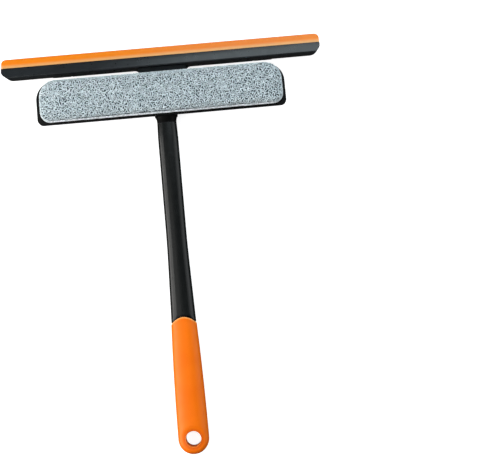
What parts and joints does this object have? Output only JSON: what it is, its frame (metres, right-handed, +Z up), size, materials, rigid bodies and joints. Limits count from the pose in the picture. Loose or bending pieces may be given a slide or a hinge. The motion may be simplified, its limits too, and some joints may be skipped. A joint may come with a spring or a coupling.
{
  "type": "window cleaning squeegee",
  "caption": "Hand squeegee with a wide rubber blade, a flat scrubbing pad on a rounded plate, and a straight handle whose soft grip has a hanging hole.",
  "frame": {"origin": "centre of the footprint, on the surface that the squeegee lies on with its pad upwards", "axes": "+Y along the handle from the grip to the blade's edge, +X along the blade, +Z up out of the pad's face"},
  "size_m": [0.27, 0.34, 0.0245],
  "materials": {
    "orange_rubber": "satin rubber, slightly glossy",
    "holder_plastic": "satin moulded plastic, dark blue-grey",
    "black_plastic": "fine matt moulded texture",
    "plate_plastic": "matt black moulding",
    "screw_steel": "zinc-plated steel",
    "hook_nylon": "woven tape with nylon hooks",
    "loop_cloth": "brushed loop cloth",
    "pad_foam": "open-cell polyurethane foam",
    "looped_pile": "looped microfibre pile, blue-grey with pale flecks",
    "edge_binding": "smooth pale woven edge",
    "shaft_plastic": "semi-gloss black moulding",
    "orange_grip": "satin soft-touch rubber"
  },
  "bodies": {
    "tool": {"blade_holder": "holder_plastic", "head_frame": "black_plastic", "pad_plate": "plate_plastic", "holder_screws": "screw_steel", "frame_screws": "screw_steel", "hook_strip_upper": "hook_nylon", "hook_strip_lower": "hook_nylon", "handle_shaft": "shaft_plastic", "grip_sleeve": "orange_grip", "shaft_screw": "screw_steel"},
    "blade": {"squeegee_blade": "orange_rubber"},
    "pad": {"pad_backing": "loop_cloth", "pad_foam": "pad_foam", "pad_cover": "looped_pile", "pad_binding": "edge_binding"}
  },
  "joints": [
    {"name": "pad_release", "type": "slide", "parent": "tool", "child": "pad", "axis": [0, 0, 1], "range_m": [0, 0.03]},
    {"name": "blade_slide", "type": "slide", "parent": "tool", "child": "blade", "axis": [1, 0, 0], "range_m": [-0.275, 0.275]}
  ]
}
